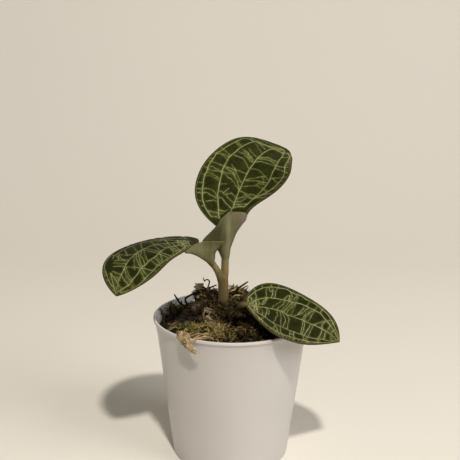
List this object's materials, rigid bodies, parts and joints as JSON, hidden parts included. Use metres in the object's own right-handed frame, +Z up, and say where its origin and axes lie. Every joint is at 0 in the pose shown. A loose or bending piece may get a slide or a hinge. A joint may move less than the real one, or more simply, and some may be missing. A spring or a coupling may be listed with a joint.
{
  "type": "potted jewel orchid",
  "caption": "Young jewel orchid with dark net-veined leaves, rooted in moss and dark mix in a small round white plastic nursery pot.",
  "frame": {"origin": "centre of the pot's base, on the surface that it stands on", "axes": "+Z up, -Y towards the front of the plant, +X to its right as seen from the front"},
  "size_m": [0.0874, 0.068, 0.1185],
  "materials": {
    "pot": "white, satin moulded plastic",
    "growing_mix": "dark damp fibrous mix with rootlets",
    "moss_fresh": "yellow-green moss strands",
    "moss_rust": "rust-brown dry moss strands",
    "straw": "dry straw-coloured moss",
    "bark": "rough weathered bark and chips",
    "stem": "fleshy olive-brown stem, soft sheen",
    "leaf": "velvety dark green blade with a yellow-green vein net"
  },
  "bodies": {
    "root": {"pot": "pot", "growing_mix": "growing_mix", "moss_front": "moss_fresh", "moss_back": "moss_fresh", "moss_brown": "moss_rust", "moss_crown": "moss_rust", "moss_straw": "straw", "bark_chunk": "bark", "bark_left": "bark", "wood_chip_upper": "bark", "wood_chip_lower": "bark", "stem": "stem", "leaf_upper": "leaf", "leaf_left": "leaf", "leaf_right": "leaf"}
  },
  "joints": []
}
